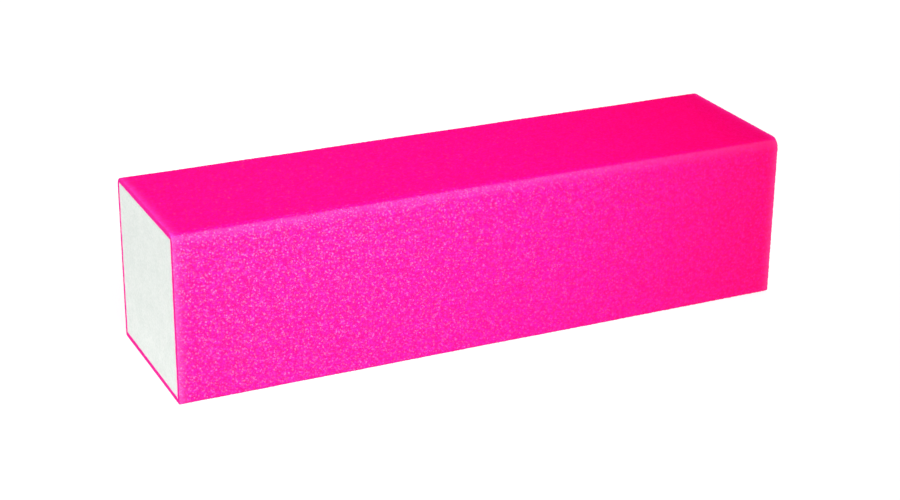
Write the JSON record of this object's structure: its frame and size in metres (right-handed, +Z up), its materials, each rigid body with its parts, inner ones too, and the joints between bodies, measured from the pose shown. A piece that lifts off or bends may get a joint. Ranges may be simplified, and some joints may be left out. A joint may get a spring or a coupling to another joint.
{
  "type": "nail buffer block",
  "caption": "Square-section foam bar with pink abrasive facings bonded to its long sides and bare cut ends, for smoothing fingernails.",
  "frame": {"origin": "middle of the bottom facing's outer face, the face the block rests on", "axes": "+X along the block's length, +Z up out of the top facing, -Y out of the front facing"},
  "size_m": [0.095, 0.025, 0.025],
  "materials": {
    "foam": "matte",
    "fine_grit": "matte",
    "coarse_grit": "matte",
    "adhesive": "satin"
  },
  "bodies": {
    "root": {"foam_core": "foam", "top_abrasive": "fine_grit", "front_abrasive": "coarse_grit", "bottom_abrasive": "fine_grit", "back_abrasive": "coarse_grit", "top_adhesive": "adhesive", "front_adhesive": "adhesive", "bottom_adhesive": "adhesive", "back_adhesive": "adhesive"}
  },
  "joints": []
}
